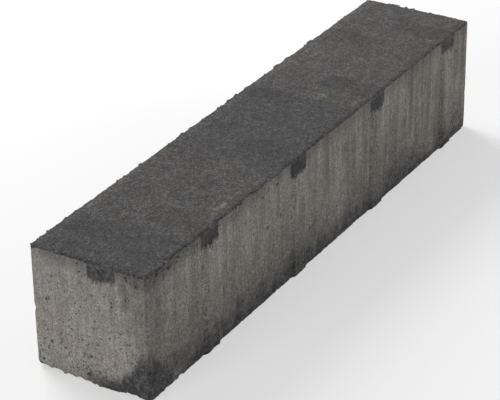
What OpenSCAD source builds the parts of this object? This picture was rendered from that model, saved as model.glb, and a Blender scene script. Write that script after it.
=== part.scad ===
// Concrete kerb paver: one pressed block with a fine arris round its top face
// and upright spacer nibs that keep the joint to its neighbours.
// X runs along the block, Z is up, and the origin is the centre of the bed face.

/* [Block] */
// Length of the block without its nibs
body_l = 596; // [400:1:996]
// Width of the block without its nibs
body_w = 116; // [100:1:240]
// Height of the block, bed face to top face
body_h = 120; // [70:1:180]
// Radius of the four upright corners
corner_r = 3; // [1:0.5:6]

/* [Top arris] */
// How far the arris reaches into the top face
arris_w = 4; // [2:0.1:6]
// How far the arris reaches down the sides
arris_drop = 1.5; // [0.5:0.1:2]

/* [Spacer nibs] */
// How far a nib stands out of its face
nib_out = 2; // [1:0.1:4]
// Width of a nib where it leaves the face
nib_base_w = 28; // [24:0.5:36]
// Width of a nib's flat outer face
nib_face_w = 19; // [8:0.5:22]
// Radius of the shoulders between a nib's outer face and its flanks
nib_shoulder_r = 6; // [1:0.5:8]
// Plain height left between the top of a nib and the top face
nib_top_gap = 15; // [8:1:30]
// Height over which the head of a nib slopes back into the face
nib_head_h = 6; // [2:0.5:15]

/* [Nib layout] */
// Distance between nibs along a long side
side_nib_pitch = 150; // [120:1:200]
// Shift of the long-side nibs to the right, seen from outside
side_nib_shift = 24.5; // [-30:0.5:30]
// Shift of the end nib to the right, seen from outside
end_nib_shift = 14; // [-22:0.5:22]

/* [Hidden] */
concrete = [0.43, 0.42, 0.40];
$fn = 96;

// length that the block takes up in a row, nib face to nib face
laid_l = body_l + 2 * nib_out;
side_nib_count = floor(laid_l / side_nib_pitch);
nib_h = body_h - nib_top_gap;
// how deep a nib's blank runs into the block, and how far the cutters run past it
nib_root = nib_shoulder_r;
overrun = 2;

// angle that a nib's flank turns away from its outer face
flank_turn = atan2(nib_out, (nib_base_w - nib_face_w) / 2);
shoulder_run = nib_shoulder_r * tan(flank_turn / 2);

// radius of the round arris, which runs level into the top face and meets the side at an angle
arris_r = (arris_w * arris_w + arris_drop * arris_drop) / (2 * arris_drop);

// Plan of the block: a rectangle with round corners
module block_plan() {
    square([body_l - 2 * corner_r, body_w], center = true);
    square([body_l, body_w - 2 * corner_r], center = true);
    for (x = [-1, 1], y = [-1, 1])
        translate([x * (body_l / 2 - corner_r), y * (body_w / 2 - corner_r)])
            circle(r = corner_r);
}

// Strip that rounds the arris along one top edge, whose face is at x = face_x
module arris_cut(face_x, edge_l) {
    translate([face_x, 0, body_h])
        rotate([90, 0, 0])
            linear_extrude(height = edge_l + 2 * overrun, center = true)
                difference() {
                    translate([-arris_w, -arris_drop])
                        square([arris_w + overrun, arris_drop + overrun]);
                    translate([-arris_w, -arris_r])
                        circle(r = arris_r);
                }
}

// Block with its arris, before the nibs
module block_body() {
    difference() {
        linear_extrude(height = body_h)
            block_plan();
        for (turn = [0, 180]) {
            rotate([0, 0, turn])
                arris_cut(body_l / 2, body_w);
            rotate([0, 0, turn + 90])
                arris_cut(body_w / 2, body_l);
        }
    }
}

// Plan of a nib that stands out along +X from the plane x = 0
module nib_plan() {
    flank_end = [nib_out - shoulder_run * sin(flank_turn), nib_face_w / 2 + shoulder_run * cos(flank_turn)];
    polygon([
        [-nib_root, -nib_base_w / 2],
        [0, -nib_base_w / 2],
        [flank_end[0], -flank_end[1]],
        [nib_out, -nib_face_w / 2 + shoulder_run],
        [nib_out, nib_face_w / 2 - shoulder_run],
        [flank_end[0], flank_end[1]],
        [0, nib_base_w / 2],
        [-nib_root, nib_base_w / 2]
    ]);
    for (side = [-1, 1])
        translate([nib_out - nib_shoulder_r, side * (nib_face_w / 2 - shoulder_run)])
            circle(r = nib_shoulder_r);
}

// Side view of a nib: upright outer face, and a head that slopes back into the block
module nib_profile() {
    slope = nib_head_h / nib_out;
    polygon([
        [-2 * nib_root, -overrun],
        [nib_out + overrun, -overrun],
        [nib_out + overrun, nib_h - slope * (nib_out + overrun)],
        [0, nib_h],
        [-2 * nib_root, nib_h]
    ]);
}

// One nib, standing out along +X from the plane x = 0
module nib() {
    intersection() {
        linear_extrude(height = nib_h + overrun)
            nib_plan();
        rotate([90, 0, 0])
            linear_extrude(height = nib_base_w + 2 * overrun, center = true)
                nib_profile();
    }
}

// Nibs of one long side, for the side that faces +X before it is turned
module side_nibs() {
    first = -(side_nib_count - 1) / 2 * side_nib_pitch;
    for (i = [0 : side_nib_count - 1])
        translate([body_w / 2, first + i * side_nib_pitch + side_nib_shift, 0])
            nib();
}

module end_nib() {
    translate([body_l / 2, end_nib_shift, 0])
        nib();
}

// The two long sides are alike, and so are the two ends, turned half round
module paver() {
    color(concrete)
        union() {
            block_body();
            for (turn = [0, 180]) {
                rotate([0, 0, turn])
                    end_nib();
                rotate([0, 0, turn - 90])
                    side_nibs();
            }
        }
}

paver();
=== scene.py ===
"""Looks of a pressed concrete kerb paver: a worn mesh round the CAD block, its concrete, and the studio."""

import math

import bpy
import numpy as np
from mathutils import Matrix, Vector


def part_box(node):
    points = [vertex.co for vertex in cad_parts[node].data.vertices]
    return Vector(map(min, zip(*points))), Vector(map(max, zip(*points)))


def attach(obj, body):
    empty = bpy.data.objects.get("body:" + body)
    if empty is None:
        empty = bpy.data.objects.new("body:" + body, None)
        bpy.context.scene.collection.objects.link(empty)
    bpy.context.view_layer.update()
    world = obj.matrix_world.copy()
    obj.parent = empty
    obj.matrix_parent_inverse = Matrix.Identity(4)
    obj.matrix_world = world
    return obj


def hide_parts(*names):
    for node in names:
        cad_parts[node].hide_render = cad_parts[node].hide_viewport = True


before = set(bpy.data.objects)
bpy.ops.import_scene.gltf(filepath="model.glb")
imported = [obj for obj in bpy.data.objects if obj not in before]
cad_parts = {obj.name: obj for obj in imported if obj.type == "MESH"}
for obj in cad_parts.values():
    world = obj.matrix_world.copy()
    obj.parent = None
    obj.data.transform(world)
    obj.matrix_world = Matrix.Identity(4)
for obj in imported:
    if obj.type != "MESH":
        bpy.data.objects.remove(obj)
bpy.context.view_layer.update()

# ================================================================ sizes, in mm
# x runs along the block and y across it. The near end faces -X and the near side faces -Y.

MM = 0.001
NIB_OUT = 2.0
LAID_HALF_L, LAID_HALF_W, HEIGHT = (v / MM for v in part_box("paver")[1])
HALF_L = LAID_HALF_L - NIB_OUT
HALF_W = LAID_HALF_W - NIB_OUT
WIDTH = 2.0 * HALF_W
CORNER_R = 3.0
ARRIS_W = 4.0
ARRIS_DROP = 1.5
# the arris is round: it runs level into the top face and ends on the walls at the rim
ARRIS_R = (ARRIS_W**2 + ARRIS_DROP**2) / (2.0 * ARRIS_DROP)
RIM_Z = HEIGHT - ARRIS_DROP

NIB_BASE_W = 28.0
NIB_FACE_W = 19.0
NIB_TOP = HEIGHT - 15.0
NIB_HEAD_H = 6.0
SIDE_PITCH = 150.0
SIDE_COUNT = 4
SIDE_SHIFT = 24.5
END_SHIFT = 14.0
# the middle of each nib: x on the near side, and y on the near end
SIDE_NIBS = [(i - (SIDE_COUNT - 1) / 2) * SIDE_PITCH + SIDE_SHIFT for i in range(SIDE_COUNT)]
END_NIBS = [-END_SHIFT]

# spacing of the mesh in plan and upwards, and how far its first lines lie from an edge
GRID = 1.75
GRID_UP = 2.1
EDGE_STEPS = (0.0, 0.45, 0.9, 1.4, 2.0, 2.7, 3.5, 4.5, 5.8, 7.4, 9.2)
FOOT_STEPS = (0.0, 0.6, 1.3, 2.1, 3.0, 4.0, 5.2, 6.6, 8.2)
RIM_STEPS = (0.0, 0.45, 0.95, 1.5, 2.2, 3.1, 4.2, 5.6)
# lines closer together than this are one line
SAME_LINE = 0.25
# the underside: how many quads wide its rim is, and how many lines apart the cells inside it are
BED_RING = 8
BED_STRIDE = 6
# how far in and how far up a crumbled bottom edge reaches
FOOT_WORN_IN = 7.0
FOOT_WORN_UP = 9.0
# how deep a pit is sunk, and how much painted shade darkens a blowhole and the mouth of an open pore, where 1
# is a pore's floor
PIT_DEPTH = 1.1
HOLE_SHADE = 0.75
MOUTH_SHADE = 0.6
# an open pore: the width of its mouth as a share of its quad, of its floor as a share of that, and its depth
PORE_MOUTH = (0.6, 0.95)
PORE_FLOOR = 0.62
PORE_DEPTH = (0.7, 1.6)
SMALLEST = 1e-9

# where the bottom edge has crumbled away: x, y, how far round, and how high, or below 0 where less has gone
FOOT_CHIPS = (
    (-252.0, -HALF_W, 6.0, 1.8),
    (-274.0, -HALF_W, 5.0, 0.8),
    (-151.0, -HALF_W, 4.0, 0.8),
    (-90.0, -HALF_W, 4.0, 0.6),
    (202.0, -HALF_W, 8.0, 0.5),
    (292.0, -HALF_W, 8.0, 1.0),
    (-HALF_L, 30.0, 4.0, -1.4),
    (-HALF_L, 18.0, 3.5, -0.7),
    (-HALF_L, -22.0, 5.0, 0.8),
    (-205.0, HALF_W, 7.0, 1.6),
    (90.0, HALF_W, 8.0, 2.0),
    (HALF_L, 12.0, 8.0, 1.8),
)
# corners whose foot is rounded more: x, y, how far round, and how much more
ROUNDED_CORNERS = (
    (-HALF_L, HALF_W, 9.0, 2.2),
    (HALF_L, -HALF_W, 9.0, 1.5),
)
# stretches of the near end's bottom edge that have crumbled away: from y, to y, soft ends, how high
END_FOOT_WORN = (
    (8.0, 75.0, 4.0, 0.9),
    (21.0, 75.0, 5.0, 1.4),
    (-47.0, -29.0, 3.0, 1.3),
)
# nicks in the top edge: x, y, how far round, and how deep
RIM_NICKS = (
    (-129.0, -HALF_W, 3.5, 1.5),
    (-153.0, -HALF_W, 3.5, 1.5),
    (-184.0, -HALF_W, 3.0, 1.2),
    (-108.0, -HALF_W, 3.0, 1.3),
    (-HALF_L, 22.5, 2.6, 1.3),
    (-HALF_L, -44.0, 2.2, 0.8),
    (-160.0, -HALF_W, 2.6, 0.9),
    (120.0, -HALF_W, 3.0, 0.8),
    (HALF_L, 20.0, 3.0, 1.2),
    (10.0, HALF_W, 3.0, 1.0),
)
# the larger pits in the near long side: x, z and radius
SIDE_PITS = (
    (-283.0, 115.0, 2.0),
    (-272.0, 115.0, 2.2),
    (-264.0, 113.0, 2.6),
    (-250.0, 116.0, 2.0),
    (-239.0, 109.0, 1.6),
    (-88.0, 109.0, 2.2),
    (-112.0, 107.0, 2.0),
    (-105.0, 73.0, 2.2),
    (-82.0, 75.0, 1.8),
    (-29.0, 36.0, 2.2),
    (21.0, 35.0, 2.0),
)
# the larger pits in the near end: y, z and radius
END_PITS = (
    (40.0, 30.0, 2.0),
    (27.0, 27.0, 1.6),
    (0.0, 27.0, 2.2),
    (-5.0, 29.0, 1.7),
    (-11.0, 28.0, 1.9),
    (6.0, 13.0, 1.7),
    (4.0, 8.0, 2.4),
    (-15.0, 17.0, 2.0),
    (51.0, 9.0, 1.9),
    (44.0, 71.0, 2.0),
    (-4.0, 89.0, 1.9),
    (-7.0, 58.0, 2.2),
    (10.0, 114.0, 2.0),
    (-38.0, 114.0, 2.0),
    (-48.0, 109.0, 2.0),
    (8.0, 107.0, 1.8),
)
# nicks in the upright corners: x, y, z, how far round, and how deep
CORNER_NICKS = (
    (-HALF_L, HALF_W, 57.0, 4.5, 1.6),
    (HALF_L, -HALF_W, 40.0, 4.0, 1.0),
    (HALF_L, HALF_W, 72.0, 5.0, 1.2),
)


# ================================================================ noise

def lattice(cell, seed):
    """A repeatable value from -1 to 1 for each cell of a lattice."""
    h = (cell[..., 0] * 73856093) ^ (cell[..., 1] * 19349663) ^ (cell[..., 2] * 83492791) ^ (seed * 2654435)
    h = ((h ^ (h >> 13)) * 1274126177) & 0x7FFFFFFF
    h = h ^ (h >> 15)
    return (h & 0xFFFF) / 32767.5 - 1.0


def value_noise(points, size, seed):
    """Smooth noise from -1 to 1 at each point. The feature size is in mm, one number or one for each axis."""
    q = points / np.array(size) + 1000.0
    cell = np.floor(q).astype(np.int64)
    t = q - cell
    t = t * t * (3.0 - 2.0 * t)
    total = np.zeros(len(points))
    for corner in np.ndindex(2, 2, 2):
        weight = np.prod(np.where(corner, t, 1.0 - t), axis=1)
        total += weight * lattice(cell + corner, seed)
    return total


def smooth(start, end, x):
    """0 at start, 1 at end, with a soft ramp between them."""
    t = np.clip((x - start) / (end - start), 0.0, 1.0)
    return t * t * (3.0 - 2.0 * t)


# ================================================================ grid round the block

def filled(stops, step):
    """Lines through all stops, with even ones between them that are no more than a step apart."""
    stops = sorted(stops)
    out = [stops[0]]
    for stop in stops[1:]:
        gap = stop - out[-1]
        if gap < SAME_LINE:
            continue
        parts = math.ceil(gap / step - 1e-6)
        out += [out[-1] + gap * (n + 1) / parts for n in range(parts)]
    return np.array(out)


def across(half, nibs):
    """Lines from -half to half, close together at both edges and on the creases of each nib."""
    stops = [side * (half - s) for s in EDGE_STEPS for side in (-1, 1)]
    for centre in nibs:
        for edge in (NIB_BASE_W / 2, NIB_FACE_W / 2):
            stops += [side * (centre + way * edge) for side in (-1, 1) for way in (-1, 1)]
    return filled(stops, GRID)


GX = across(HALF_L, SIDE_NIBS)
GY = across(HALF_W, END_NIBS)
GZ = filled([*FOOT_STEPS, NIB_TOP - NIB_HEAD_H, NIB_TOP, *(RIM_Z - s for s in RIM_STEPS)], GRID_UP)
NX, NY, NZ = len(GX), len(GY), len(GZ)


def face_quads(axis, at, na, nb, flip):
    """Line numbers (i, j, k) of the corners of each quad on one face of the grid."""
    a, b = (m.ravel() for m in np.meshgrid(np.arange(na - 1), np.arange(nb - 1), indexing="ij"))
    ring = [(a, b), (a + 1, b), (a + 1, b + 1), (a, b + 1)]
    corners = []
    for pair in ring[::-1] if flip else ring:
        triple = list(pair)
        triple.insert(axis, np.full_like(a, at))
        corners.append(np.stack(triple, axis=-1))
    return np.stack(corners, axis=1)


def bed_faces():
    """The underside: small quads round its rim, and large cells inside that share the rim's corners."""
    i_in, j_in = (BED_RING, NX - 1 - BED_RING), (BED_RING, NY - 1 - BED_RING)
    faces = [
        [(i, j), (i, j + 1), (i + 1, j + 1), (i + 1, j)]
        for i in range(NX - 1)
        for j in range(NY - 1)
        if not (i_in[0] <= i < i_in[1] and j_in[0] <= j < j_in[1])
    ]
    i_cells = [*range(*i_in, BED_STRIDE), i_in[1]]
    j_cells = [*range(*j_in, BED_STRIDE), j_in[1]]
    for i0, i1 in zip(i_cells, i_cells[1:]):
        for j0, j1 in zip(j_cells, j_cells[1:]):
            faces.append(
                [(i0, j) for j in (range(j0, j1) if i0 == i_in[0] else (j0,))]
                + [(i, j1) for i in (range(i0, i1) if j1 == j_in[1] else (i0,))]
                + [(i1, j) for j in (range(j1, j0, -1) if i1 == i_in[1] else (j1,))]
                + [(i, j0) for i in (range(i1, i0, -1) if j0 == j_in[0] else (i1,))]
            )
    return [np.array([(i, j, 0) for i, j in f]) for f in faces]


def build_grid():
    """Vertices of the grid as line numbers, the quads of its walls and top, and its underside."""
    quads = np.concatenate([
        face_quads(1, 0, NX, NZ, False),
        face_quads(1, NY - 1, NX, NZ, True),
        face_quads(0, 0, NY, NZ, True),
        face_quads(0, NX - 1, NY, NZ, False),
        face_quads(2, NZ - 1, NX, NY, False),
    ])
    bed = bed_faces()

    def number(t):
        return (t[..., 0] * NY + t[..., 1]) * NZ + t[..., 2]

    used = np.unique(np.concatenate([number(quads).ravel(), *(number(f) for f in bed)]))
    lines = np.stack([used // (NY * NZ), used // NZ % NY, used % NZ], axis=-1)
    return lines, np.searchsorted(used, number(quads)), [np.searchsorted(used, number(f)) for f in bed]


# ================================================================ form
# v stands for the grid's vertices in this section.

def round_corners(p):
    """The plan with its upright corners rounded, the way out of it, and how far inside it each point is."""
    core = np.array([HALF_L, HALF_W]) - CORNER_R
    inner = np.clip(p[:, :2], -core, core)
    v = p[:, :2] - inner
    reach = np.abs(v).max(axis=1)
    length = np.maximum(np.hypot(v[:, 0], v[:, 1]), SMALLEST)
    way = v / length[:, None]
    deeper = np.where(reach > 0, 0.0, (core - np.abs(p[:, :2])).min(axis=1))
    return inner + way * reach[:, None], way, CORNER_R - reach + deeper


class Vertices:
    """The grid's vertices before they are worn: their places and faces, and how far inside the outline."""

    def __init__(self, lines):
        i, j, k = lines.T
        self.lines = lines
        self.start = np.stack([GX[i], GY[j], GZ[k]], axis=-1)
        self.x, self.y, self.z = self.start.T
        self.near_end, self.far_end = i == 0, i == NX - 1
        self.near_side, self.far_side = j == 0, j == NY - 1
        self.bed, self.top = k == 0, k == NZ - 1
        self.plan, self.way, self.inset = round_corners(self.start)
        self.flat = np.column_stack([self.plan, np.zeros(len(lines))])


def near(plan, spots):
    """The sum of soft spots on the outline, each (x, y, radius, amount)."""
    total = np.zeros(len(plan))
    for x, y, radius, amount in spots:
        total += amount * smooth(radius, 0.0, np.hypot(plan[:, 0] - x, plan[:, 1] - y))
    return total


def foot_loss(flat):
    """How far the bottom edge has crumbled up from the bed."""
    at_end = smooth(-HALF_L + 12.0, -HALF_L, flat[:, 0])
    ragged = 0.7 * value_noise(flat, 4.0, 13) + 0.5 * value_noise(flat, 2.1, 14)
    loss = 0.45 * at_end - 0.1 + ragged * (1.0 + 0.6 * at_end) + near(flat, FOOT_CHIPS)
    for start, end, soft, amount in END_FOOT_WORN:
        stretch = smooth(start - soft, start + soft, flat[:, 1]) * smooth(end + soft, end - soft, flat[:, 1])
        loss += amount * at_end * stretch
    return np.clip(loss, 0.0, 4.0)


def with_worn_foot(v):
    """Points of the block, its bottom edge rounded by an amount that wanders, and crumbled upwards."""
    foot_r = 0.7 + 0.5 * value_noise(v.flat, 26.0, 11) + 0.5 * value_noise(v.flat, 6.0, 12)
    foot_r = np.clip(foot_r + near(v.plan, ROUNDED_CORNERS), 0.3, 4.0)
    worn = ~v.top & (v.inset < foot_r) & (v.z < foot_r)
    aside, up = v.inset - foot_r, v.z - foot_r
    length = np.maximum(np.hypot(aside, up), SMALLEST)
    moved_in = np.where(worn, foot_r + foot_r * aside / length - v.inset, 0.0)
    height = np.where(worn, foot_r + foot_r * up / length, v.z)
    height += foot_loss(v.flat) * smooth(FOOT_WORN_IN, 0.0, v.inset) * smooth(FOOT_WORN_UP, 0.0, v.z)
    return np.column_stack([v.plan - v.way * moved_in[:, None], height])


def arris_climb(v):
    """How far the top rises above the rim, over the arris and inside it."""
    left = ARRIS_W * (1.0 - np.clip(v.inset / ARRIS_W, 0.0, 1.0))
    return np.where(v.top, ARRIS_DROP - ARRIS_R + np.sqrt(ARRIS_R**2 - left**2), 0.0)


def nib_relief(on_face, along, height, centres):
    """How far the nibs of one face stand out."""
    out = np.zeros(len(along))
    head = (NIB_TOP - height) / NIB_HEAD_H
    for centre in centres:
        flank = (NIB_BASE_W / 2 - np.abs(along - centre)) / ((NIB_BASE_W - NIB_FACE_W) / 2)
        out = np.maximum(out, NIB_OUT * np.clip(np.minimum(flank, head), 0.0, 1.0))
    return np.where(on_face, out, 0.0)


def add_nibs(v, point):
    """Stands the nibs out of the walls. Two faces are alike, and the other two are turned half round."""
    point[:, 1] -= nib_relief(v.near_side, v.x, v.z, SIDE_NIBS)
    point[:, 1] += nib_relief(v.far_side, -v.x, v.z, SIDE_NIBS)
    point[:, 0] -= nib_relief(v.near_end, v.y, v.z, END_NIBS)
    point[:, 0] += nib_relief(v.far_end, -v.y, v.z, END_NIBS)


def surface_normals(points, faces):
    """Normals of the vertices, from the quads round them."""
    a, b, c, d = (points[faces[:, n]] for n in range(4))
    across_quad = np.cross(c - a, d - b)
    total = np.zeros_like(points)
    for n in range(4):
        np.add.at(total, faces[:, n], across_quad)
    return total / np.maximum(np.linalg.norm(total, axis=1, keepdims=True), SMALLEST)


def face_relief(v):
    """Upright drag marks and a crumbled foot on the walls, pressed sand on the top, and a rough bed."""
    start = v.start
    walls = (
        0.14 * value_noise(start, 45.0, 31)
        + 0.10 * value_noise(start, (4.0, 4.0, 70.0), 32)
        + 0.09 * value_noise(start, (9.0, 9.0, 130.0), 33)
        + 0.12 * value_noise(start, 2.3, 34)
        + smooth(16.0, 0.0, v.z) * (0.40 * value_noise(start, 4.2, 35) - 0.15)
    )
    top = 0.09 * value_noise(start, 4.5, 36) + 0.07 * value_noise(start, 2.1, 37)
    bed = -0.25 - 0.25 * value_noise(start, 9.0, 38)
    return np.where(v.top, top, np.where(v.bed & (v.inset > 1.0), bed, walls))


def torn_zone(points):
    """1 beside the near corner and 0 away from it, further along the side than across the end."""
    from_end, from_side = points[:, 0] + HALF_L, points[:, 1] + HALF_W
    side = smooth(95.0, 60.0, from_end) * (from_side < 3.0)
    end = smooth(32.0, 12.0, from_side) * (from_end < 3.0)
    return np.maximum(side, end)


def torn_strip(points):
    """1 in the torn strip under the rim beside the near corner, and 0 away from it."""
    return torn_zone(points) * smooth(RIM_Z - 12.0, RIM_Z - 5.0, points[:, 2])


def rim_burr(v):
    """Crumbs and a ragged burr along the rim with small nicks in it, torn deeper beside the near corner."""
    flat, torn = v.flat, torn_zone(v.start)
    flakes = np.maximum(0.0, value_noise(flat, 3.6, 21) - 0.25)
    flakes *= smooth(-0.5, 0.4, value_noise(flat, 30.0, 22))
    crumbs = np.maximum(0.0, value_noise(flat, 1.9, 25) - 0.5)
    burr = 0.1 + 0.35 * value_noise(flat, 2.4, 23) + 0.25 * value_noise(flat, 9.0, 24)
    burr += 2.0 * flakes
    burr += 3.6 * crumbs
    burr += torn * (1.2 * value_noise(flat, 5.5, 26) + 0.9 * value_noise(flat, 2.8, 27) + 0.1)
    burr = np.clip(burr - near(v.plan, RIM_NICKS), -1.8, 1.9 - 1.3 * torn)
    return burr * np.where(v.top, smooth(2.0, 0.3, v.inset), smooth(RIM_Z - 2.2, RIM_Z - 0.3, v.z))


def sink_pits(v, relief):
    """Sinks nicks, blowholes and larger pits into the relief. Returns how much painted shade darkens each
    vertex as a pore.
    """
    for x, y, z, radius, depth in CORNER_NICKS:
        relief -= depth * smooth(radius, 0.0, np.linalg.norm(v.start - (x, y, z), axis=1))
    # blowholes are single points, most of them low on the ends
    on_end = v.near_end | v.far_end
    share = np.where(on_end, 0.006 + 0.016 * smooth(80.0, 15.0, v.z), 0.002) + 0.05 * torn_strip(v.start)
    walls = ~v.top & (v.z > 6.0) & (v.z < RIM_Z - 1.5)
    hole = walls & (lattice(v.lines, 43) > 1.0 - 2.0 * share)
    relief -= np.where(hole, 0.9 + 0.3 * lattice(v.lines, 44), 0.0)
    # the blowholes and the larger pits below get painted shade
    dark = np.where(hole, HOLE_SHADE, 0.0)
    for face, sideways, pits in ((v.near_end, v.y, END_PITS), (v.near_side, v.x, SIDE_PITS)):
        for centre, height, radius in pits:
            pit = face * smooth(radius, 0.2 * radius, np.hypot(sideways - centre, v.z - height))
            relief -= PIT_DEPTH * pit
            dark = np.maximum(dark, pit)
    return dark


def shape_block(lines, quads):
    """Points of the worn block in mm, their normals, and how much painted shade darkens each one as a pore.
    """
    v = Vertices(lines)
    point = with_worn_foot(v)
    point[:, 2] += arris_climb(v)
    add_nibs(v, point)
    normal = surface_normals(point, quads)
    relief = face_relief(v) + rim_burr(v)
    dark = sink_pits(v, relief)
    point += normal * relief[:, None]
    point[:, 2] = np.maximum(point[:, 2], 0.0)
    return point, normal, dark


def pick_pores(point, normal, quads, rng):
    """Numbers of the quads that hold an open pore, more of them towards the foot of the ends."""
    middle = point[quads].mean(axis=1)
    facing = normal[quads].mean(axis=1)
    size = np.linalg.norm(point[quads[:, 0]] - point[quads[:, 2]], axis=1)
    on_end = np.abs(facing[:, 0]) > 0.9
    on_side = np.abs(facing[:, 1]) > 0.9
    low = smooth(75.0, 8.0, middle[:, 2])
    chance = np.where(on_end, 0.014 + 0.040 * low, np.where(on_side, 0.004 + 0.006 * low, 0.002))
    chance *= np.clip(1.0 + 2.2 * value_noise(middle, 14.0, 41), 0.0, 3.0)
    chance += 0.10 * torn_strip(middle)
    inside = (middle[:, 2] > 4.0) & (middle[:, 2] < RIM_Z - 1.0) | (facing[:, 2] > 0.97)
    good = inside & (size > 1.6)
    return np.nonzero(good & (rng.random(len(quads)) < chance))[0]


def open_pores(point, normal, dark, quads, chosen, rng):
    """Cuts a small pit into each chosen quad. Returns all points and quads, and how much painted shade
    darkens each point.
    """
    n = len(chosen)
    outer = quads[chosen]
    corners = point[outer]
    middle = corners.mean(axis=1, keepdims=True)
    inwards = -normal[outer].mean(axis=1, keepdims=True)
    mouth = middle + (corners - middle) * rng.uniform(*PORE_MOUTH, (n, 4, 1))
    floor = middle + (mouth - middle) * PORE_FLOOR + inwards * rng.uniform(*PORE_DEPTH, (n, 1, 1))
    mouth_ids, floor_ids = len(point) + np.arange(8 * n).reshape(2, n, 4)
    made = [floor_ids]
    for a in range(4):
        b = (a + 1) % 4
        made.append(np.stack([outer[:, a], outer[:, b], mouth_ids[:, b], mouth_ids[:, a]], axis=-1))
        made.append(np.stack([mouth_ids[:, a], mouth_ids[:, b], floor_ids[:, b], floor_ids[:, a]], axis=-1))
    all_points = np.concatenate([point, mouth.reshape(-1, 3), floor.reshape(-1, 3)])
    all_dark = np.concatenate([dark, np.full(4 * n, MOUTH_SHADE), np.ones(4 * n)])
    return all_points, np.concatenate([np.delete(quads, chosen, axis=0), *made]), all_dark


def add_object(name, data):
    made = bpy.data.objects.new(name, data)
    bpy.context.scene.collection.objects.link(made)
    return made


def make_block():
    """The worn block, whose attribute "pore" is 1 where the concrete is painted as dark as the shade in a
    pore.
    """
    lines, quads, bed = build_grid()
    point, normal, dark = shape_block(lines, quads)
    rng = np.random.default_rng(7)
    chosen = pick_pores(point, normal, quads, rng)
    point, quads, dark = open_pores(point, normal, dark, quads, chosen, rng)
    mesh = bpy.data.meshes.new("worn_block")
    mesh.from_pydata((point * MM).tolist(), [], quads.tolist() + [f.tolist() for f in bed])
    mesh.validate()
    mesh.polygons.foreach_set("use_smooth", np.ones(len(mesh.polygons), bool))
    mesh.attributes.new("pore", "FLOAT", "POINT").data.foreach_set("value", dark.astype(np.float32))
    return add_object("worn_block", mesh)


# ================================================================ nodes

class Nodes:
    """Short names for the nodes of one material or of the world."""

    def __init__(self, owner, output="OutputMaterial"):
        owner.use_nodes = True
        self.owner = owner
        self.tree = owner.node_tree
        self.tree.nodes.clear()
        self.output = self.node(output)

    def put(self, socket, value):
        if isinstance(value, bpy.types.NodeSocket):
            self.tree.links.new(value, socket)
        else:
            socket.default_value = value

    def node(self, kind, values=(), **settings):
        made = self.tree.nodes.new("ShaderNode" + kind)
        for name, value in settings.items():
            setattr(made, name, value)
        for socket, value in dict(values).items():
            self.put(made.inputs[socket], value)
        return made

    def show(self, shader):
        """Makes this shader the one that is seen, and returns the material or world."""
        self.put(self.output.inputs["Surface"], shader.outputs[0])
        return self.owner

    def math(self, operation, *values):
        return self.node("Math", enumerate(values), operation=operation).outputs[0]

    def vector(self, operation, *values):
        return self.node("VectorMath", enumerate(values), operation=operation).outputs["Vector"]

    def chain(self, operation, values):
        """The operation on the first two values, then on its result and the third, and so on."""
        result = values[0]
        for value in values[1:]:
            result = self.math(operation, result, value)
        return result

    def sum(self, *values):
        return self.chain("ADD", values)

    def product(self, *values):
        return self.chain("MULTIPLY", values)

    def most(self, *values):
        return self.chain("MAXIMUM", values)

    def away(self, value, place):
        """How far a value lies from a place."""
        return self.math("ABSOLUTE", self.math("SUBTRACT", value, place))

    def distance(self, vector, place):
        return self.node("VectorMath", {0: vector, 1: place}, operation="DISTANCE").outputs["Value"]

    def vary(self, value, noise, amount):
        """A value that a noise from 0 to 1 raises and lowers by up to half the amount."""
        return self.math("MULTIPLY_ADD", self.math("SUBTRACT", noise, 0.5), amount, value)

    def ramp(self, value, start, end, low=0.0, high=1.0):
        """A soft ramp from low at start to high at end."""
        made = self.node(
            "MapRange", {"Value": value, "From Min": start, "From Max": end, "To Min": low, "To Max": high},
            interpolation_type="SMOOTHSTEP",
        )
        return made.outputs["Result"]

    def blend(self, factor, a, b):
        """The number a where the factor is 0, and b where it is 1."""
        return self.node("Mix", {0: factor, 2: a, 3: b}).outputs[0]

    def mix(self, factor, a, b):
        """The colour a where the factor is 0, and b where it is 1."""
        return self.node("Mix", {0: factor, 6: a, 7: b}, data_type="RGBA").outputs[2]

    def times(self, colour, *factors):
        """A colour made lighter or darker by the factors."""
        made = self.node("VectorMath", {0: colour, "Scale": self.product(*factors)}, operation="SCALE")
        return made.outputs["Vector"]

    def mottled(self, colour, noise, contrast, reach=0.2):
        """A colour that a noise makes lighter and darker, most where it is the reach from its middle."""
        return self.times(colour, self.vary(1.0, self.ramp(noise, 0.5 - reach, 0.5 + reach), contrast))

    def tinted(self, colour, noise, first, second):
        """A colour that a noise moves between two tints."""
        first, second = (self.vector("MULTIPLY", colour, tint) for tint in (first, second))
        return self.mix(self.ramp(noise, 0.3, 0.7), first, second)

    def cells(self, vector, size, output="Distance"):
        return self.node("TexVoronoi", {"Vector": vector, "Scale": 1.0 / size}).outputs[output]

    def dots(self, vector, size, limit, outer, inner):
        """1 in the middle of the few cells whose random value is over the limit, and 0 outside their dots."""
        chosen = self.math("GREATER_THAN", self.cells(vector, size, "Color"), limit)
        return self.product(chosen, self.ramp(self.cells(vector, size), outer, inner))

    def seen(self):
        """1 for what the camera, a mirror or glass sees, and 0 for the light that falls on other things."""
        ray = self.node("LightPath").outputs
        return self.most(ray["Is Camera Ray"], ray["Is Glossy Ray"], ray["Is Transmission Ray"])


# ================================================================ concrete

FACING_COOL = (0.0695, 0.0680, 0.0708, 1)
FACING_TAN = (0.101, 0.092, 0.081, 1)
SAND = (0.250, 0.204, 0.170, 1)
RUST = (0.190, 0.120, 0.075, 1)
SPECK = (0.40, 0.37, 0.32, 1)
BODY_DARK = (0.225, 0.2075, 0.184, 1)
BODY_PALE = (0.300, 0.2835, 0.2585, 1)
DAMP = (0.075, 0.0745, 0.0755, 1)
DAMP_SIDE = (0.0705, 0.0700, 0.0705, 1)
# painted shade in the pores and pits
PORE_SHADE = (0.034, 0.030, 0.027, 1)

# how far noise bends the outlines of the pores, and the middle of that
SWAY = (3.0, 3.0, 4.5)
HALF_SWAY = tuple(v / 2 for v in SWAY)
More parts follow.
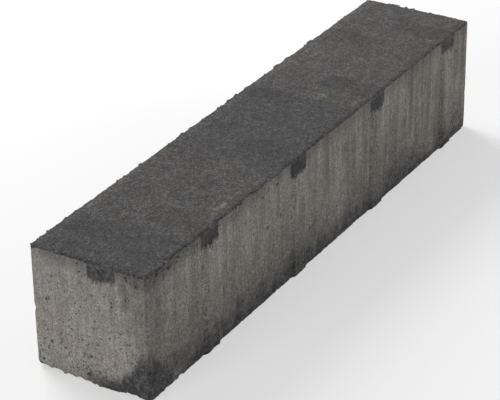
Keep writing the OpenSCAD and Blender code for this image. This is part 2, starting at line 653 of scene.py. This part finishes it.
# the middle of a chip in the foot that shows dry concrete
FRESH_CHIP = (-252.0, -HALF_W, 3.0)

# small tan blotches on the top: x, y, radius and strength
BLOTCHES = (
    (-169.0, -47.0, 16.0, 0.6),
    (-140.0, -42.0, 14.0, 0.4),
    (-120.0, -46.0, 13.0, 0.4),
    (-224.0, 44.0, 16.0, 0.45),
    (-218.0, 18.0, 12.0, 0.3),
    (-108.0, 47.0, 13.0, 0.4),
    (-100.0, 20.0, 16.0, 0.2),
    (-20.0, -35.0, 16.0, 0.3),
    (68.0, -12.0, 18.0, 0.55),
    (70.0, -48.0, 12.0, 0.3),
    (118.0, 42.0, 16.0, 0.4),
    (161.0, 40.0, 22.0, 0.5),
    (196.0, 34.0, 18.0, 0.4),
)
# pale sandy scuffs on the top: x, y, length, width and strength
SCUFFS = (
    (-173.0, -46.0, 12.0, 6.0, 1.0),
    (-162.0, -48.0, 10.0, 6.0, 1.0),
    (-149.0, -46.0, 10.0, 4.0, 0.7),
    (-125.0, -41.0, 10.0, 3.0, 0.8),
    (-112.0, -52.0, 10.0, 4.0, 0.5),
    (70.0, -14.0, 8.0, 12.0, 0.6),
    (68.0, -50.0, 9.0, 6.0, 0.6),
    (150.0, 36.0, 8.0, 6.0, 0.3),
)
# upright bands on the long sides that differ in tone: x, half width, and the tone's factor
BANDS = (
    (-62.0, 9.0, 0.94),
    (-35.0, 34.0, 0.96),
    (8.0, 15.0, 0.88),
    (81.0, 19.0, 0.77),
    (100.0, 15.0, 0.96),
    (176.0, 11.0, 0.75),
    (221.0, 15.0, 0.80),
    (280.0, 16.0, 0.69),
    (260.0, 9.0, 1.06),
    (138.0, 10.0, 1.12),
    (-209.0, 9.0, 1.10),
    (-247.0, 10.0, 1.10),
)
# soft clouds on the near end: y, z, radius, and the tone's factor
END_CLOUDS = (
    (1.0, 99.0, 14.0, 0.88),
    (1.0, 32.0, 12.0, 0.89),
    (-22.0, 90.0, 16.0, 1.12),
)
# facing dragged down beside the near corner: distance from the corner, half width, lowest z, strength,
# and 1 on an end or 0 on a side
CORNER_DRAGS = (
    (8.0, 6.0, 104.0, 0.75, 1.0),
    (21.5, 6.5, 82.0, 0.50, 1.0),
    (26.0, 3.0, 105.0, 0.75, 0.0),
    (36.0, 4.0, 108.0, 0.75, 0.0),
    (8.0, 4.0, 88.0, 0.40, 0.0),
)
# where the damp foot of the long sides reaches higher or lower: x, half width, and by how much
DAMP_REACH = (
    (-60.0, 30.0, 6.0),
    (18.0, 22.0, -10.0),
    (62.0, 18.0, -3.0),
    (105.0, 12.0, -4.0),
    (142.0, 26.0, 11.0),
    (182.0, 12.0, 1.0),
    (216.0, 16.0, -11.0),
    (240.0, 11.0, 13.0),
    (258.0, 8.0, -4.0),
    (276.0, 20.0, 13.0),
)


class BlockNodes(Nodes):
    """The concrete's nodes, with each point's place in mm, its distances from the edges, and noises."""

    def __init__(self, material):
        super().__init__(material)
        self.place = self.vector("MULTIPLY", self.node("TexCoord").outputs["Object"], (1 / MM,) * 3)
        self.x, self.y, self.z = self.node("SeparateXYZ", {0: self.place}).outputs
        self.is_end = self.ramp(self.math("ABSOLUTE", self.x), HALF_L - 1.0, HALF_L - 0.4)
        self.is_side = self.blend(self.is_end, 1.0, 0.0)

        # distances from the near end and the near side, and from the corner between them
        self.from_end = self.math("ADD", self.x, HALF_L)
        self.from_side = self.math("ADD", self.y, HALF_W)
        self.from_corner = self.sum(self.most(self.from_end, 0.0), self.most(self.from_side, 0.0))

        # distance along a wall from its nearest nib, whose patch sits a little further along at the far end
        turned_x = self.product(self.x, self.math("SIGN", self.y), -1.0)
        turned_y = self.product(self.y, self.math("SIGN", self.x), -1.0)
        from_side_nib = self.math(
            "WRAP", self.math("SUBTRACT", turned_x, SIDE_NIBS[0]), SIDE_PITCH / 2, -SIDE_PITCH / 2)
        self.from_side_nib = self.math("SUBTRACT", from_side_nib, self.ramp(self.x, 40.0, 80.0, 0.0, 1.2))
        from_end_nib = self.math("SUBTRACT", turned_y, END_NIBS[0])
        self.from_nib = self.blend(self.is_end, self.from_side_nib, from_end_nib)

        # noises from sand grains to wide clouds, and two that are drawn out upwards
        self.grain = self.noise(0.95, 1.0, 0.6)
        self.grit = self.noise(2.4, 2.0, 0.6)
        self.hue = self.noise(6.5, 2.0, 0.6)
        self.soft = self.noise(9.0, 3.0, 0.6)
        self.blotch = self.noise(17.0, 2.0, 0.55)
        self.wide = self.noise(55.0, 2.0)
        self.streak = self.noise(2.4, 2.0, 0.6, squeeze=0.06)
        self.band = self.noise(11.0, 2.0, 0.55, squeeze=0.11)
        # the place again, swayed to and fro so that round pores come out bent
        sway = self.vector("MULTIPLY", self.noise(3.6, 1.0, output="Color"), SWAY)
        self.bent = self.vector("ADD", self.place, sway)

    def noise(self, size, detail=2.0, rough=0.5, squeeze=1.0, output="Fac"):
        """Noise from 0 to 1 with features of the size in mm, drawn out upwards where squeeze is under 1."""
        made = self.node("TexNoise", {
            "Vector": self.vector("MULTIPLY", self.place, (1.0, 1.0, squeeze)),
            "Scale": 1.0 / size, "Detail": detail, "Roughness": rough})
        return made.outputs[output]


# s stands for the concrete's nodes from here to the studio

def torn_rim(s):
    """How torn the facing is along the rim: beside the near corner, and in a scraped stretch of the side."""
    beside_corner = s.product(s.ramp(s.from_corner, 90.0, 30.0), s.blend(s.is_end, 1.0, 0.35))
    scraped = s.ramp(s.away(s.from_corner, 155.0), 30.0, 16.0, 0.0, 0.8)
    scraped = s.product(scraped, s.ramp(s.from_side, 6.0, 3.0))
    return s.most(beside_corner, scraped)


def facing_on_top(s, torn):
    """1 on the top and the arris and 0 below their ragged edge, which is higher where the facing is torn."""
    torn_off = s.product(torn, s.vary(0.6, s.soft, 13.0))
    at_far_corner = s.product(s.ramp(s.from_side, WIDTH - 9.0, WIDTH - 1.0, 0.4, 2.4), s.is_end)
    height = s.sum(s.vary(s.z, s.grit, 1.6), torn_off, at_far_corner)
    return s.ramp(height, RIM_Z - 0.5, RIM_Z + 0.2)


def facing_above_nibs(s):
    """1 in the patch of facing above each nib, whose foot is ragged and leans."""
    out = s.math("ABSOLUTE", s.from_nib)
    lean = s.product(s.from_nib, s.blend(s.is_end, -0.04, -0.16))
    lift = s.blend(s.is_end, s.ramp(s.x, 225.0, 240.0, 0.0, 2.5), 0.8)
    foot = s.sum(lean, lift, s.math("MULTIPLY_ADD", out, 0.10, NIB_TOP - 2.4))
    for noise, amount in ((s.soft, 6.0), (s.streak, 6.0), (s.grit, 3.0)):
        foot = s.vary(foot, noise, amount)
    return s.product(
        s.ramp(s.vary(out, s.grit, 3.0), NIB_BASE_W / 2 + 1.2, NIB_BASE_W / 2 - 1.0),
        s.ramp(s.math("SUBTRACT", s.z, foot), -3.0, 2.2),
    )


def body_colour(s):
    """Warm grey with clouds, upright drag streaks, and bands and clouds that differ in tone, with the ends
    painted lighter, most towards their foot.
    """
    clouds = s.sum(
        s.product(s.band, s.blend(s.is_end, 0.55, 0.35)),
        s.product(s.soft, s.blend(s.is_end, 0.45, 0.65)),
    )
    body = s.mix(s.ramp(clouds, 0.34, 0.66), BODY_DARK, BODY_PALE)

    # drag streaks on the sides, and on the ends beside their corner
    drag = s.product(
        s.ramp(s.streak, 0.25, 0.75, -0.16, 0.16),
        s.blend(s.is_end, 1.0, s.ramp(s.from_corner, 45.0, 12.0, 0.62, 1.0)),
    )
    # broader ones on the sides, stronger towards the far end
    bands = s.product(s.ramp(s.band, 0.3, 0.7, -0.5, 0.5), s.ramp(s.x, -80.0, 200.0, 0.18, 0.37))
    broad = s.ramp(s.noise(5.0, 1.0, squeeze=0.06), 0.3, 0.7, -0.5, 0.5)
    broad = s.product(broad, s.ramp(s.x, 90.0, 150.0, 0.0, 0.18))
    side_tone = s.product(s.sum(bands, broad, 1.0), s.ramp(s.blotch, 0.3, 0.7, 0.902, 1.038))
    # painted light: the ends lighter than the sides, most towards the foot, and darker again in the lowest 14
    # mm, with wide clouds that differ in tone
    end_tone_and_light = s.product(
        s.ramp(s.wide, 0.35, 0.65, 0.965, 1.035),
        s.ramp(s.z, 10.0, 100.0, 1.24, 1.08),
        s.ramp(s.z, 0.0, 14.0, 0.88, 1.0),
    )
    body = s.times(body, s.math("ADD", drag, 1.0), s.blend(s.is_end, side_tone, end_tone_and_light))

    # the ends are cooler and greyer towards the top
    cool = s.product(s.ramp(s.vary(s.z, s.soft, 40.0), 20.0, 100.0), s.is_end)
    body = s.mix(cool, body, s.vector("MULTIPLY", body, (0.992, 1.0, 1.02)))
    body = s.tinted(body, s.hue, (0.982, 0.995, 1.035), (1.018, 1.005, 0.965))

    tone = s.ramp(s.x, -100.0, 60.0, 1.02, 0.97)
    for x, half, factor in BANDS:
        tone = s.product(tone, s.ramp(s.away(s.x, x), half, half * 0.4, 1.0, factor))
    tone = s.blend(s.is_end, s.blend(s.ramp(s.z, 40.0, 75.0), 1.0, tone), 1.0)
    for y, z, radius, factor in END_CLOUDS:
        off = s.distance(s.place, (-HALF_L, y, z))
        tone = s.product(tone, s.ramp(off, radius, radius * 0.3, 1.0, factor))
    worn_corner = s.ramp(s.from_corner, 6.5, 0.8, 1.0, 1.16)
    return s.times(body, tone, worn_corner)


def facing_film(s):
    """How much dark facing is smeared over the body, from 0 to 1."""
    # a thin film near the top
    strength = s.blend(
        s.is_end, s.ramp(s.x, -240.0, -140.0, 0.50, 0.34), s.ramp(s.from_side, 98.0, 112.0, 0.50, 0.10))
    height = s.vary(s.vary(s.z, s.grit, 5.0), s.soft, 10.0)
    film = s.product(s.ramp(height, RIM_Z - 17.5, RIM_Z - 2.5), strength)

    # a smudge down the near upright corner, wider towards its foot on the ends
    width = s.ramp(s.z, 40.0, 100.0, s.blend(s.is_end, 14.0, 27.0), s.blend(s.is_end, 44.0, 46.0))
    smudge = s.math("DIVIDE", s.vary(s.from_corner, s.soft, 16.0), width)
    smudge = s.product(s.ramp(smudge, 1.0, 0.1), s.blend(s.is_end, 0.28, 0.38))

    # facing dragged over the top of the corner
    height = s.sum(s.product(s.from_corner, s.blend(s.is_end, -0.16, -0.30)), s.vary(s.z, s.soft, 14.0))
    reach = s.blend(s.is_end, s.ramp(s.from_corner, 95.0, 35.0), s.ramp(s.from_corner, 60.0, 20.0))
    corner = s.product(s.ramp(height, RIM_Z - 24.5, RIM_Z - 7.5), reach, 0.66)

    # short dark drips under the rim, fainter on the ends
    drip = s.ramp(s.noise(2.6, 1.0, squeeze=0.22), 0.57, 0.68, 0.0, 0.75)
    height = s.vary(s.z, s.blotch, 30.0)
    drip = s.product(drip, s.ramp(height, RIM_Z - 19.0, RIM_Z - 1.0), s.blend(s.is_end, 1.0, 0.3))

    film = s.most(film, smudge, corner, drip)
    height = s.vary(s.z, s.soft, 16.0)
    for middle, half, lowest, strength, on_end in CORNER_DRAGS:
        off = s.vary(s.away(s.from_corner, middle), s.streak, half)
        dragged = s.product(
            s.ramp(off, half, half * 0.4, 0.0, strength),
            s.ramp(height, lowest - 4.0, lowest + 5.0),
            s.is_end if on_end else s.is_side,
        )
        film = s.most(film, dragged)
    return film


def damp_foot(s):
    """How damp the foot of the long sides is, less towards the far end."""
    height = s.vary(s.vary(s.z, s.band, -46.0), s.blotch, -30.0)
    for noise, amount in ((s.streak, -24.0), (s.soft, -26.0), (s.grit, -26.0)):
        height = s.vary(height, noise, amount)
    for x, half, reach in DAMP_REACH:
        height = s.sum(height, s.ramp(s.away(s.x, x), half, half * 0.3, 0.0, -reach))
    damp = s.sum(s.ramp(height, 32.0, 4.0, 0.0, 0.68), s.ramp(height, 80.0, 20.0, 0.0, 0.40))
    strength = s.most(s.ramp(s.x, 60.0, 290.0, 0.92, 0.66), s.ramp(s.z, 12.0, 5.0, 0.6, 0.98))
    return s.product(damp, strength, s.is_side)


def corner_stain(s):
    """How strong the stain round the foot of the near corner is."""
    # its height on the side and on the end: a band along the foot, and a slope up to the corner
    away = s.from_corner
    side_height = s.most(s.ramp(away, 44.0, 36.0, -3.0, 9.0), s.math("MULTIPLY_ADD", away, -0.95, 47.0))
    end_slope = s.sum(s.ramp(away, 4.0, 20.0, 43.0, 21.0), s.ramp(away, 20.0, 44.0, 0.0, -34.0))
    end_height = s.most(s.ramp(away, 70.0, 58.0, -3.0, 10.0), end_slope)
    height = s.blend(s.is_end, side_height, end_height)
    for noise, amount in ((s.soft, 16.0), (s.streak, s.blend(s.is_end, 22.0, 8.0)), (s.grit, 18.0)):
        height = s.vary(height, noise, amount)
    stain = s.ramp(s.math("SUBTRACT", height, s.z), s.blend(s.is_end, -4.0, -6.5), 3.5)
    strength = s.blend(s.is_end, s.ramp(away, 50.0, 70.0, 0.95, 0.55), s.ramp(away, 36.0, 62.0, 0.96, 0.45))
    drier = s.product(s.ramp(away, 10.0, 2.0, 0.0, 0.32), s.ramp(s.z, 22.0, 32.0))
    return s.product(stain, strength, s.math("SUBTRACT", 1.0, drier))


def wetness(s):
    """How wet the concrete is, from 0 to 1, and less in a fresh chip."""
    chip = s.ramp(s.distance(s.place, FRESH_CHIP), 6.0, 15.0, 0.55, 1.0)
    return s.product(s.most(damp_foot(s), corner_stain(s)), chip)


def tan_spots(s):
    """How strong the small tan blotches on the top are."""
    spot = 0.0
    for x, y, radius, strength in BLOTCHES:
        reach = s.vary(s.distance(s.place, (x, y, HEIGHT)), s.soft, 26.0)
        spot = s.most(spot, s.ramp(reach, radius, 0.0, 0.0, strength))
    return spot


def sandy_scuffs(s, facing):
    """The facing with pale sandy scuffs on the top."""
    pale = s.ramp(s.noise(3.4, 2.0, 0.6), 0.43, 0.58)
    for x, y, length, width, strength in SCUFFS:
        off = s.vector("SUBTRACT", s.place, (x, y, HEIGHT))
        off = s.vector("MULTIPLY", off, (2.0 / length, 2.0 / width, 0.3))
        reach = s.vary(s.distance(off, (0.0, 0.0, 0.0)), s.grit, 1.2)
        facing = s.mix(s.product(s.ramp(reach, 1.4, 0.5, 0.0, strength), pale, 0.8), facing, SAND)
    return facing


def edge_light_and_wear(s):
    """How light the facing is at the edges of the top, as a factor: painted shade and highlights, and wear.
    """
    # painted shade beside the near edges, and a painted highlight beside the far one, whose arris is dark
    from_edge = s.math("MINIMUM", s.from_end, s.from_side)
    painted_shade_near_edges = s.ramp(from_edge, 10.0, 4.0, 1.0, 0.955)
    painted_highlight_far_edge = s.ramp(s.from_side, WIDTH - 12.0, WIDTH - 7.0, 1.0, 1.20)
    far_arris = s.ramp(s.from_side, WIDTH - 4.0, WIDTH - 1.5, 1.0, 0.72)
    # broken beside the near corner, and a painted highlight on the rim above the side nibs
    broken = s.product(
        s.ramp(s.from_end, 90.0, 30.0),
        s.ramp(from_edge, 7.0, 4.0),
        s.ramp(s.noise(3.6, 2.0, 0.6), 0.36, 0.64, -0.3, 0.4),
    )
    painted_highlight_above_nib = s.product(
        s.ramp(s.math("ABSOLUTE", s.from_side_nib), 15.0, 12.0),
        s.ramp(s.from_side, 7.0, 5.0),
        s.ramp(s.z, RIM_Z - 0.6, RIM_Z),
    )
    # wear beside the near corner, times the painted highlight above the side nibs
    worn = s.product(s.math("ADD", broken, 1.0), s.math("MULTIPLY_ADD", painted_highlight_above_nib, 0.16, 1.0))
    return s.product(painted_shade_near_edges, painted_highlight_far_edge, far_arris, worn)


def facing_colour(s, patch):
    """Dark grey with tan sand in bands across the block and in small blotches, with painted light and shade
    at the top's edges and on the nib patches.
    """
    tan = s.sum(
        s.ramp(s.x, -238.0, -222.0, 0.0, 0.52),
        s.ramp(s.x, -98.0, -70.0, 0.0, -0.44),
        s.ramp(s.away(s.x, 72.0), 20.0, 8.0, 0.0, 0.30),
        s.ramp(s.x, 48.0, 120.0, 0.0, 0.42),
    )
    shade = s.sum(s.ramp(tan, 0.0, 0.45, 0.915, 0.995), s.ramp(s.x, 48.0, 130.0, 0.0, 0.06))
    in_patch = s.product(patch, s.ramp(s.z, RIM_Z, RIM_Z - 2.0))
    tan = s.math("MULTIPLY_ADD", in_patch, -0.4, tan)
    sandy = s.sum(s.product(tan, 0.42), s.product(tan_spots(s), 0.6))
    sandy = s.vary(s.vary(sandy, s.noise(7.0, 2.0, 0.6), 1.3), s.grit, 1.2)
    facing = s.mix(s.ramp(sandy, -0.1, 0.8), FACING_COOL, FACING_TAN)
    facing = s.times(s.tinted(facing, s.hue, (0.962, 1.0, 1.038), (1.038, 1.0, 0.962)), shade)

    contrast = s.sum(s.ramp(s.x, -200.0, 250.0, 0.71, 0.55), s.ramp(s.x, -230.0, -260.0, 0.0, -0.14))
    facing = s.mottled(facing, s.noise(5.0, 4.0, 0.75), contrast, 0.18)
    facing = s.mottled(facing, s.soft, 0.33)
    facing = s.mottled(facing, s.blotch, 0.18)
    facing = s.times(sandy_scuffs(s, facing), edge_light_and_wear(s))

    # painted light and shade on the patches above the nibs: lighter in the top few mm of the wall, where the
    # burr shades it, lighter on the ends and darker on the sides, and a painted shade line along the rim
    patch_painted_light = s.product(
        s.ramp(s.z, RIM_Z - 3.9, RIM_Z - 2.3, 1.0, s.ramp(s.x, 20.0, 120.0, 1.28, 1.17)),
        s.blend(s.is_end, 0.89, 1.20),
        s.ramp(s.z, RIM_Z - 0.8, RIM_Z + 0.4, 1.0, 0.77),
    )
    return s.times(facing, s.blend(patch, 1.0, patch_painted_light))


def grainy(s, colour, top, wet):
    """The colour with its sand grains, fainter towards the far end and stronger on the top and where wet."""
    fine = s.sum(s.ramp(s.x, -200.0, 250.0, 0.84, 0.44), s.ramp(s.from_corner, 50.0, 15.0, 0.0, 0.14))
    fine = s.blend(s.is_end, fine, s.ramp(s.z, 60.0, 105.0, 0.66, 0.54))
    fine = s.blend(top, fine, s.ramp(s.x, -200.0, 250.0, 1.26, 0.76))
    coarse = s.sum(s.product(top, 0.08), s.product(wet, 0.55), s.blend(s.is_end, 0.56, 0.42))
    colour = s.mottled(colour, s.grain, fine, 0.25)
    colour = s.mottled(colour, s.grit, coarse, 0.25)
    return s.times(
        colour,
        s.vary(1.0, s.soft, s.product(wet, 1.9)),
        s.vary(1.0, s.noise(5.0, 2.0, 0.6), s.product(wet, 2.0)),
    )


def specked(s, colour, shown):
    """The colour with pale and rusty specks, the pale ones mostly outside the facing."""
    pale = s.product(s.dots(s.place, 2.2, 0.93, 0.35, 0.15), s.blend(shown, 0.35, 0.05))
    rusty = s.product(s.dots(s.place, 3.0, 0.955, 0.32, 0.15), 0.5)
    return s.mix(rusty, s.mix(pale, colour, SPECK), RUST)


def small_pores(s, torn, top):
    """1 in the small pores and pits, some of them on the same places as the larger pits of the mesh."""
    # they crowd low on the ends and under the torn rim, and are few on the sides
    on_end = s.product(s.ramp(s.z, 90.0, 10.0, 0.5, 1.0), s.ramp(s.soft, 0.42, 0.58, 0.25, 1.1))
    crowd = s.blend(s.is_end, s.ramp(s.soft, 0.55, 0.75, 0.0, 0.5), on_end)
    crowd = s.most(crowd, s.product(torn, s.ramp(s.z, RIM_Z - 12.0, RIM_Z - 5.0)))
    radius = s.ramp(s.cells(s.bent, 3.6, "Color"), 0.2, 0.9, 0.16, 0.46)
    pores = s.product(
        s.ramp(s.math("DIVIDE", s.cells(s.bent, 3.6), radius), 1.0, 0.5),
        s.ramp(s.noise(5.5, 1.0), 0.50, 0.58),
        crowd,
        s.ramp(top, 0.0, 1.0, 1.0, 0.7),
    )
    pores = s.most(pores, s.product(s.dots(s.bent, 7.0, 0.72, 0.26, 0.12), top, 0.55))
    side_pits = [((x, -HALF_W, z), radius) for x, z, radius in SIDE_PITS]
    end_pits = [((-HALF_L, y, z), radius) for y, z, radius in END_PITS]
    for middle, radius in side_pits + end_pits:
        reach = s.distance(s.bent, tuple(m + h for m, h in zip(middle, HALF_SWAY)))
        pores = s.most(pores, s.ramp(reach, radius * 0.85, radius * 0.35))
    return pores


def concrete():
    """The block's one material: body, facing, damp, grains and pores, with the relief finer than the mesh."""
    s = BlockNodes(bpy.data.materials.new("pressed_concrete"))
    torn = torn_rim(s)
    top = facing_on_top(s, torn)
    patch = facing_above_nibs(s)
    shown = s.most(top, patch)
    wet = wetness(s)

    body = s.mix(facing_film(s), body_colour(s), FACING_COOL)
    body = s.mix(wet, body, s.mix(s.is_end, DAMP_SIDE, DAMP))
    colour = s.mix(shown, body, facing_colour(s, patch))
    colour = specked(s, grainy(s, colour, top, wet), shown)
    pores = small_pores(s, torn, top)
    cut_pore_shade = s.node("Attribute", attribute_name="pore").outputs["Fac"]
    # pores and pits painted dark for the shade in them, on top of the mesh's own pits and the bump
    colour = s.mix(s.product(s.most(cut_pore_shade, pores), s.blend(s.is_end, 0.76, 0.67)), colour, PORE_SHADE)

    height = s.sum(s.product(s.grain, 0.9), s.product(s.grit, 1.4), s.product(s.streak, s.is_side, 0.5))
    height = s.math("SUBTRACT", height, pores)
    bump = s.node("Bump", {"Height": height, "Strength": 1.0, "Distance": 0.6 * MM}).outputs[0]
    return s.show(s.node("BsdfPrincipled", {
        "Base Color": colour, "Roughness": 0.92, "Specular IOR Level": 0.25, "Normal": bump}))


# ================================================================ studio, in metres

FLOOR_SIZE = 12.0
# the way the camera faces, how steeply it looks down and how far it is rolled, in degrees, and its lens in mm
CAMERA_FROM = 31.424
CAMERA_UP = 28.377
CAMERA_ROLL = 0.853
CAMERA_DISTANCE = 1.9295
CAMERA_LENS = 150.99
CAMERA_AIM = Vector((-0.04801, -0.00529, 0.06041))
LAMP_SIZE = 1.5
LAMP_AIM = Vector((0, 0, 0.06))
# lamps: name, place and power
LAMPS = (
    ("overhead", (0.7, 1.75, 1.6), 50.7),
    ("front_fill", (-2.5, 0.4, 0.9), 22.0),
    ("side_fill", (1.5, -2.2, 0.9), 22.4),
)
# how strongly the world lights the block, where 1 is the white that the camera sees
WORLD_LIGHT = 0.25
WHITE = (1, 1, 1, 1)
FLOOR_LIT = (0.70, 0.70, 0.70, 1)
FLOOR_SEEN = (0.97, 0.97, 0.97, 1)
# how much of the floor that the camera sees is plain white, so that the rest shows the shadow
FLOOR_GLOW = 0.5


def make_camera():
    """Looks along the block from past its near end, from the -Y side."""
    cam = add_object("camera", bpy.data.cameras.new("camera"))
    azimuth, rise = math.radians(CAMERA_FROM), math.radians(CAMERA_UP)
    ahead = Vector((math.cos(azimuth) * math.cos(rise), math.sin(azimuth) * math.cos(rise), -math.sin(rise)))
    turn = ahead.to_track_quat("-Z", "Y").to_matrix() @ Matrix.Rotation(math.radians(-CAMERA_ROLL), 3, "Z")
    cam.matrix_world = Matrix.Translation(CAMERA_AIM - ahead * CAMERA_DISTANCE) @ turn.to_4x4()
    cam.data.lens = CAMERA_LENS
    cam.data.sensor_width = 36.0
    cam.data.clip_start = 0.05
    bpy.context.scene.camera = cam


def make_floor():
    """A pale floor that keeps the block's shadow."""
    half = FLOOR_SIZE / 2
    mesh = bpy.data.meshes.new("floor")
    corners = [(-half, -half, 0), (half, -half, 0), (half, half, 0), (-half, half, 0)]
    mesh.from_pydata(corners, [], [(0, 1, 2, 3)])
    floor = add_object("floor", mesh)
    s = Nodes(bpy.data.materials.new("pale_floor"))
    seen = s.seen()
    matt = s.node("BsdfDiffuse", {"Color": s.mix(seen, FLOOR_LIT, FLOOR_SEEN)}).outputs[0]
    white = s.node("Emission", {"Color": WHITE, "Strength": 1.0}).outputs[0]
    mesh.materials.append(s.show(s.node("MixShader", {0: s.product(seen, FLOOR_GLOW), 1: matt, 2: white})))


def make_lights():
    """Soft lamps round the block, and a world that is white to the camera and dimmer as a light."""
    for name, place, power in LAMPS:
        light = bpy.data.lights.new(name, "AREA")
        light.shape = "DISK"
        light.size = LAMP_SIZE
        light.energy = power
        lamp = add_object(name, light)
        lamp.location = place
        lamp.rotation_euler = (LAMP_AIM - Vector(place)).to_track_quat("-Z", "Y").to_euler()
    s = Nodes(bpy.data.worlds.new("studio"), "OutputWorld")
    strength = s.blend(s.seen(), WORLD_LIGHT, 1.0)
    bpy.context.scene.world = s.show(s.node("Background", {"Color": WHITE, "Strength": strength}))


# ================================================================ assembly

block = make_block()
block.data.materials.append(concrete())
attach(block, "root")
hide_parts("paver")
make_camera()
make_floor()
make_lights()

bpy.context.scene.view_settings.view_transform = "Standard"
